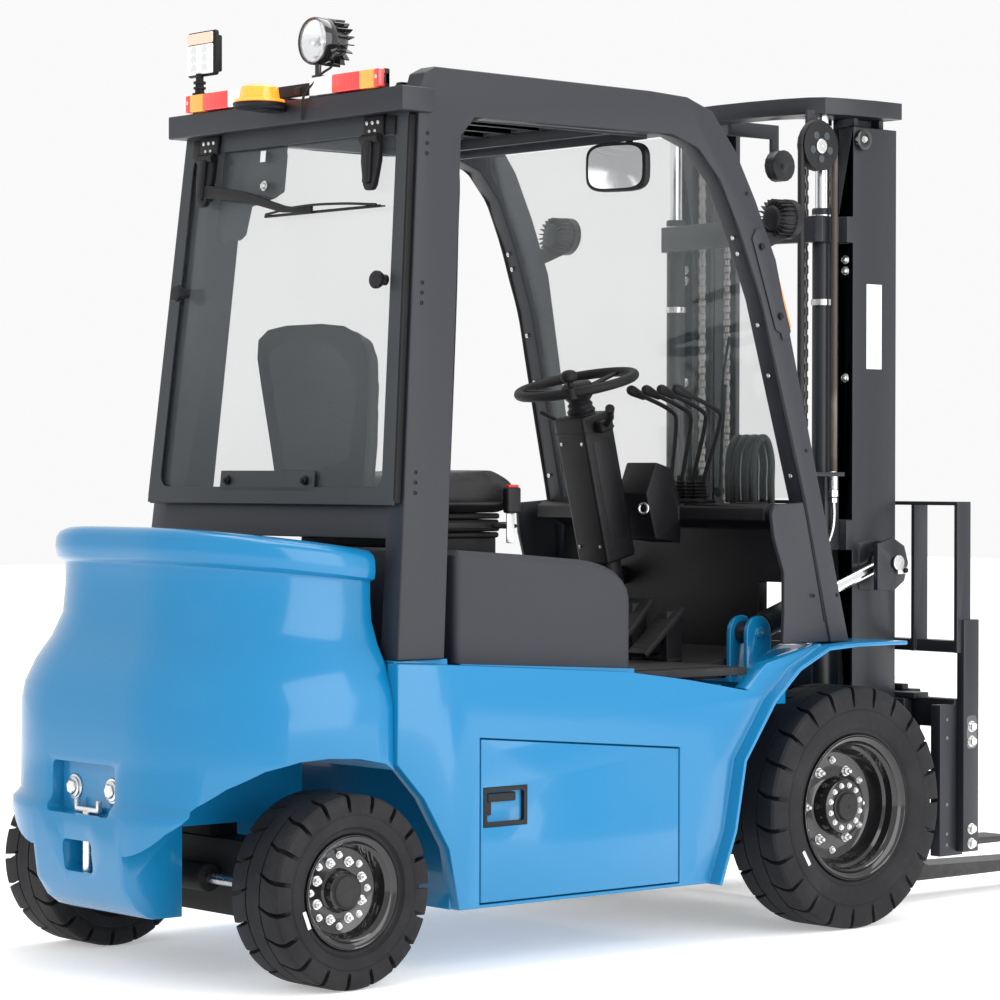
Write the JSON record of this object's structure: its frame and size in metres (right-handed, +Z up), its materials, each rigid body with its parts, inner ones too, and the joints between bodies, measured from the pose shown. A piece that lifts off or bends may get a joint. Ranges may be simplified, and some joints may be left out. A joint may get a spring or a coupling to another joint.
{
  "type": "forklift truck",
  "caption": "Electric counterbalance forklift with a cab guard, two-stage mast, side shift, load backrest and forks; it drives on front wheels and steers with the rear ones.",
  "frame": {"origin": "on the ground under the middle of the length, on the centre line", "axes": "+Y ahead, towards the fork tips; +X to the right of the driver; +Z up"},
  "size_m": [1.18, 3.617, 2.305],
  "materials": {
    "glossy_blue_paint": "glossy sky blue enamel",
    "black_paint": "satin black paint",
    "gloss_black_rim": "glossy black paint",
    "battery_case": "matt black paint",
    "black_plastic": "fine-grained matt black plastic",
    "seat_vinyl": "matt black vinyl",
    "floor_rubber": "ribbed black rubber",
    "hose_rubber": "smooth black rubber",
    "solid_tyre": "matt black rubber",
    "bright_steel": "plain bright steel",
    "hard_chrome": "polished hard chrome",
    "clear_glass": "clear laminated glass",
    "tinted_glass": "grey tinted glass",
    "lens_red": "glossy lens plastic",
    "lens_amber": "glossy amber lens plastic",
    "mirror_glass": "convex mirror glass"
  },
  "bodies": {
    "chassis": {"chassis_frame": "glossy_blue_paint", "drive_axle": "black_paint", "steer_axle": "black_paint", "battery": "battery_case", "floor_plate": "floor_rubber", "counterweight": "glossy_blue_paint", "tow_pin": "bright_steel", "overhead_guard": "black_paint", "roof_bars": "black_paint", "rear_window_frame": "black_plastic", "rear_window": "tinted_glass", "windscreen": "clear_glass", "dash": "black_plastic", "steering_column": "black_plastic", "lever_bank": "black_plastic", "pedals": "black_plastic", "tail_lamps": "lens_red", "beacon": "lens_amber", "rear_work_lamp": "hard_chrome", "corner_lamp": "black_plastic", "front_work_lamp_right": "black_plastic", "front_work_lamp_left": "black_plastic", "mirror": "mirror_glass"},
    "front_wheel_right": {"front_tyre_right": "solid_tyre", "front_rim_right": "gloss_black_rim"},
    "front_wheel_left": {"front_tyre_left": "solid_tyre", "front_rim_left": "gloss_black_rim"},
    "knuckle_right": {"steering_knuckle_right": "black_paint"},
    "knuckle_left": {"steering_knuckle_left": "black_paint"},
    "rear_wheel_right": {"rear_tyre_right": "solid_tyre", "rear_rim_right": "gloss_black_rim"},
    "rear_wheel_left": {"rear_tyre_left": "solid_tyre", "rear_rim_left": "gloss_black_rim"},
    "steering_link": {"steering_rod": "bright_steel"},
    "hand_wheel": {"steering_wheel": "black_plastic"},
    "door_right": {"side_door_right": "glossy_blue_paint"},
    "door_left": {"side_door_left": "glossy_blue_paint"},
    "hood_and_seat": {"hood": "black_plastic", "seat_base": "black_plastic", "seat_cushion": "seat_vinyl", "seat_back": "seat_vinyl"},
    "mast_outer": {"outer_mast": "black_paint", "lift_cylinder_right": "black_paint", "lift_cylinder_left": "black_paint"},
    "mast_inner": {"inner_mast": "black_paint", "lift_rod_right": "hard_chrome", "lift_rod_left": "hard_chrome", "hose_wheel": "black_plastic", "lift_chain_right": "bright_steel", "lift_chain_left": "bright_steel", "mast_hose": "hose_rubber"},
    "fork_carriage": {"carriage": "black_paint"},
    "shift_frame": {"side_shifter": "black_paint", "load_backrest": "black_paint", "fork_right": "black_paint", "fork_left": "black_paint"},
    "tilt_barrel_right": {"tilt_cylinder_right": "black_paint"},
    "tilt_barrel_left": {"tilt_cylinder_left": "black_paint"},
    "tilt_piston_right": {"tilt_rod_right": "hard_chrome"},
    "tilt_piston_left": {"tilt_rod_left": "hard_chrome"}
  },
  "joints": [
    {"name": "front_wheel_right_spin", "type": "hinge", "parent": "chassis", "child": "front_wheel_right", "pos_m": [0.5015, 0.2215, 0.316], "axis": [1, 0, 0], "continuous": true},
    {"name": "front_wheel_left_spin", "type": "hinge", "parent": "chassis", "child": "front_wheel_left", "pos_m": [-0.5015, 0.2215, 0.316], "axis": [1, 0, 0], "continuous": true},
    {"name": "steer_right", "type": "hinge", "parent": "chassis", "child": "knuckle_right", "pos_m": [0.355, -1.4275, 0.225], "axis": [0, 0, 1], "range_deg": [-60, 60]},
    {"name": "steer_left", "type": "hinge", "parent": "chassis", "child": "knuckle_left", "pos_m": [-0.355, -1.4275, 0.225], "axis": [0, 0, 1], "range_deg": [-60, 60]},
    {"name": "rear_wheel_right_spin", "type": "hinge", "parent": "knuckle_right", "child": "rear_wheel_right", "pos_m": [0.478, -1.4275, 0.225], "axis": [1, 0, 0], "continuous": true},
    {"name": "rear_wheel_left_spin", "type": "hinge", "parent": "knuckle_left", "child": "rear_wheel_left", "pos_m": [-0.478, -1.4275, 0.225], "axis": [1, 0, 0], "continuous": true},
    {"name": "steering_rod_slide", "type": "slide", "parent": "chassis", "child": "steering_link", "axis": [1, 0, 0], "range_m": [-0.082, 0.082]},
    {"name": "hand_wheel_turn", "type": "hinge", "parent": "chassis", "child": "hand_wheel", "pos_m": [0, -0.2385, 1.42], "axis": [0, -0.2368, 0.9716], "continuous": true},
    {"name": "door_right_hinge", "type": "hinge", "parent": "chassis", "child": "door_right", "pos_m": [0.55, -0.3835, 0.34], "axis": [0, 0, 1], "range_deg": [0, 110]},
    {"name": "door_left_hinge", "type": "hinge", "parent": "chassis", "child": "door_left", "pos_m": [-0.55, -0.3835, 0.34], "axis": [0, 0, -1], "range_deg": [0, 110]},
    {"name": "hood_hinge", "type": "hinge", "parent": "chassis", "child": "hood_and_seat", "pos_m": [0, -0.5025, 0.703], "axis": [-1, 0, 0], "range_deg": [0, 35]},
    {"name": "mast_tilt", "type": "hinge", "parent": "chassis", "child": "mast_outer", "pos_m": [0, 0.2215, 0.316], "axis": [-1, 0, 0], "range_deg": [-6, 6]},
    {"name": "mast_lift", "type": "slide", "parent": "mast_outer", "child": "mast_inner", "axis": [0, 0, 1], "range_m": [-0.02, 1.48], "deforming": ["lift_chain_right", "lift_chain_left", "mast_hose"]},
    {"name": "carriage_lift", "type": "slide", "parent": "mast_inner", "child": "fork_carriage", "axis": [0, 0, 1], "range_m": [-0.02, 1.48]},
    {"name": "side_shift", "type": "slide", "parent": "fork_carriage", "child": "shift_frame", "axis": [1, 0, 0], "range_m": [-0.1, 0.1]},
    {"name": "tilt_barrel_right_pivot", "type": "hinge", "parent": "chassis", "child": "tilt_barrel_right", "pos_m": [0.37, 0.0365, 0.77], "axis": [-1, 0, 0], "range_deg": [-5.8, 5.8]},
    {"name": "tilt_piston_right_slide", "type": "slide", "parent": "tilt_barrel_right", "child": "tilt_piston_right", "axis": [0, 0.9478, 0.319], "range_m": [-0.053, 0.053]},
    {"name": "tilt_barrel_left_pivot", "type": "hinge", "parent": "chassis", "child": "tilt_barrel_left", "pos_m": [-0.37, 0.0365, 0.77], "axis": [-1, 0, 0], "range_deg": [-5.8, 5.8]},
    {"name": "tilt_piston_left_slide", "type": "slide", "parent": "tilt_barrel_left", "child": "tilt_piston_left", "axis": [0, 0.9478, 0.319], "range_m": [-0.053, 0.053]}
  ],
  "couplings": [
    {"joint": "steer_left", "follows": "steer_right", "ratio": 1},
    {"joint": "steering_rod_slide", "follows": "steer_right", "m_per_rad": 0.077},
    {"joint": "carriage_lift", "follows": "mast_lift", "ratio": 1},
    {"joint": "tilt_barrel_right_pivot", "follows": "mast_tilt", "ratio": 0.949},
    {"joint": "tilt_piston_right_slide", "follows": "mast_tilt", "m_per_rad": 0.4888},
    {"joint": "tilt_barrel_left_pivot", "follows": "mast_tilt", "ratio": 0.949},
    {"joint": "tilt_piston_left_slide", "follows": "mast_tilt", "m_per_rad": 0.4888}
  ]
}
